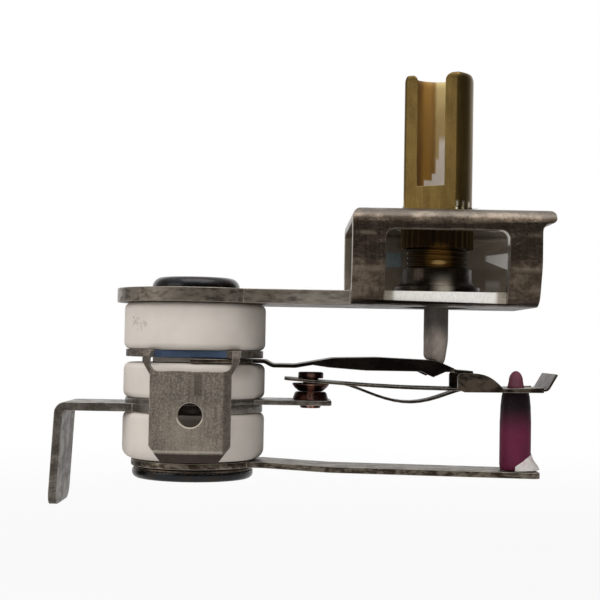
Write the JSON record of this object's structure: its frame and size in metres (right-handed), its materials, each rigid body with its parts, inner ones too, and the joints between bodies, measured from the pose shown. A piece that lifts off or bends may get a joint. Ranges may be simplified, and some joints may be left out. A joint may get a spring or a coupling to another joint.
{
  "type": "heater thermostat",
  "caption": "Adjustable bimetal heater thermostat: ceramic stack, snap switch with tab terminals, folded bracket and a flatted spindle.",
  "frame": {"origin": "spindle axis at the bracket's top face, which is the centre of its two fixing holes", "axes": "+Z outwards along the spindle, +X from the stack towards the spindle, -Y towards the front tab"},
  "size_m": [0.0412, 0.0158, 0.0359],
  "materials": {
    "frame_steel": "nickel-plated, satin",
    "terminal_steel": "nickel-plated, grained",
    "blade_steel": "spring strip, dulled",
    "bimetal": "rolled strip, mottled",
    "eyelet_steel": "blued, glossy",
    "brass": "turned, slightly dulled",
    "contact": "copper alloy, heat-darkened",
    "ceramic": "unglazed steatite",
    "pin_ceramic": "unglazed ceramic",
    "purple_ceramic": "stained ceramic",
    "cement": "dry cement"
  },
  "bodies": {
    "frame": {"support_frame": "frame_steel", "threaded_bushing": "frame_steel", "stack_eyelet": "eyelet_steel", "stack_washer": "frame_steel", "upper_insulator": "ceramic", "middle_insulator": "ceramic", "lower_insulator": "ceramic", "front_terminal": "terminal_steel", "side_terminal": "terminal_steel", "fixed_contact_strip": "terminal_steel", "fixed_contact": "contact"},
    "pusher": {"adjusting_pin": "pin_ceramic"},
    "spindle": {"adjusting_spindle": "brass", "calibration_screw": "brass"},
    "carrier": {"spring_carrier": "blade_steel"},
    "bimetal": {"bimetal_strip": "bimetal", "bimetal_pin": "purple_ceramic", "pin_cement": "cement"},
    "blade": {"snap_blade": "blade_steel", "moving_contact": "contact"}
  },
  "joints": [
    {"name": "pin_slide", "type": "slide", "parent": "frame", "child": "pusher", "axis": [0, 0, 1], "range_m": [-0.000208, 0.000208]},
    {"name": "spindle_turn", "type": "hinge", "parent": "pusher", "child": "spindle", "pos_m": [0, 0, 0], "axis": [0, 0, 1], "range_deg": [-150, 150]},
    {"name": "carrier_bend", "type": "hinge", "parent": "frame", "child": "carrier", "pos_m": [-0.0201, 0, -0.01238], "axis": [0, -1, 0], "range_deg": [-0.61, 0.61]},
    {"name": "bimetal_bend", "type": "hinge", "parent": "frame", "child": "bimetal", "pos_m": [-0.0201, 0, -0.02081], "axis": [0, -1, 0], "range_deg": [0, 0.8], "stiffness_Nm_per_rad": 0.05},
    {"name": "blade_snap", "type": "hinge", "parent": "bimetal", "child": "blade", "pos_m": [0.00675, 0, -0.0144], "axis": [0, 1, 0], "range_deg": [0, 0.72]}
  ],
  "couplings": [
    {"joint": "spindle_turn", "follows": "pin_slide", "rad_per_m": 12566},
    {"joint": "carrier_bend", "follows": "pin_slide", "rad_per_m": 49.751},
    {"joint": "blade_snap", "follows": "bimetal_bend", "ratio": 0.875}
  ]
}
